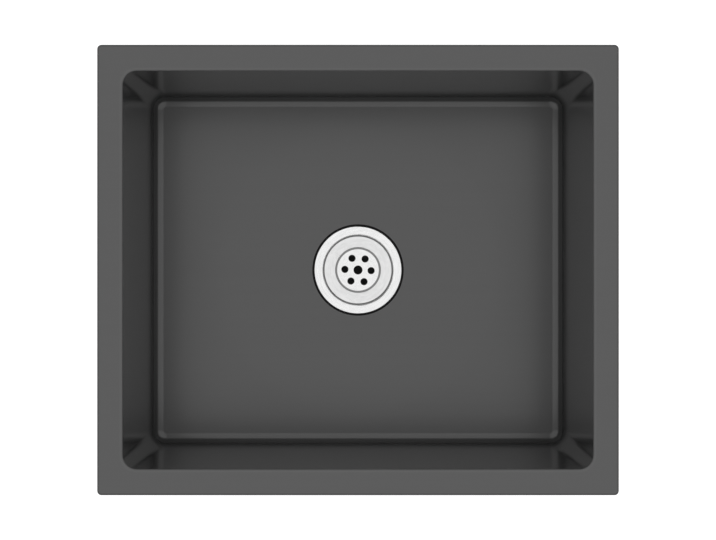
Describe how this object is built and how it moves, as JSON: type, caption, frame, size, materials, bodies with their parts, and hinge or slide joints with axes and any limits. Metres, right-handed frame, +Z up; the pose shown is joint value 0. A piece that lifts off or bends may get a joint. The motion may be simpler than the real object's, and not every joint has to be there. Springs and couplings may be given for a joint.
{
  "type": "undermount kitchen sink",
  "caption": "Rectangular undermount sink bowl in dark satin steel with a flat rim, a dished floor and a centred strainer waste that lifts out.",
  "frame": {"origin": "the middle of the bowl's mouth, in the plane of the rim's top face, which is the underside of the worktop", "axes": "+X along the long side, to the right; +Y to the rear; +Z up"},
  "size_m": [0.44, 0.38, 0.3097],
  "materials": {
    "gunmetal_steel": "satin dark coating on stainless steel",
    "satin_steel": "satin stainless steel",
    "pad_rubber": "matt rubber",
    "seal_rubber": "smooth rubber",
    "white_plastic": "moulded polyethylene",
    "black_plastic": "moulded polypropylene",
    "grey_plastic": "moulded polypropylene"
  },
  "bodies": {
    "sink": {"bowl": "gunmetal_steel", "pad_front": "pad_rubber", "pad_rear": "pad_rubber", "pad_left": "pad_rubber", "pad_right": "pad_rubber", "pad_floor_left": "pad_rubber", "pad_floor_right": "pad_rubber", "flange_gasket": "seal_rubber", "waste_body": "satin_steel", "under_washer": "seal_rubber", "friction_ring": "white_plastic", "lock_nut": "black_plastic", "tailpiece_washer": "white_plastic", "tailpiece": "grey_plastic", "coupling_nut": "black_plastic"},
    "strainer": {"strainer_dish": "satin_steel", "sieve_plate": "satin_steel", "strainer_seal": "seal_rubber"}
  },
  "joints": [
    {"name": "strainer_lift", "type": "slide", "parent": "sink", "child": "strainer", "axis": [0, 0, 1], "range_m": [0, 0.23]}
  ]
}
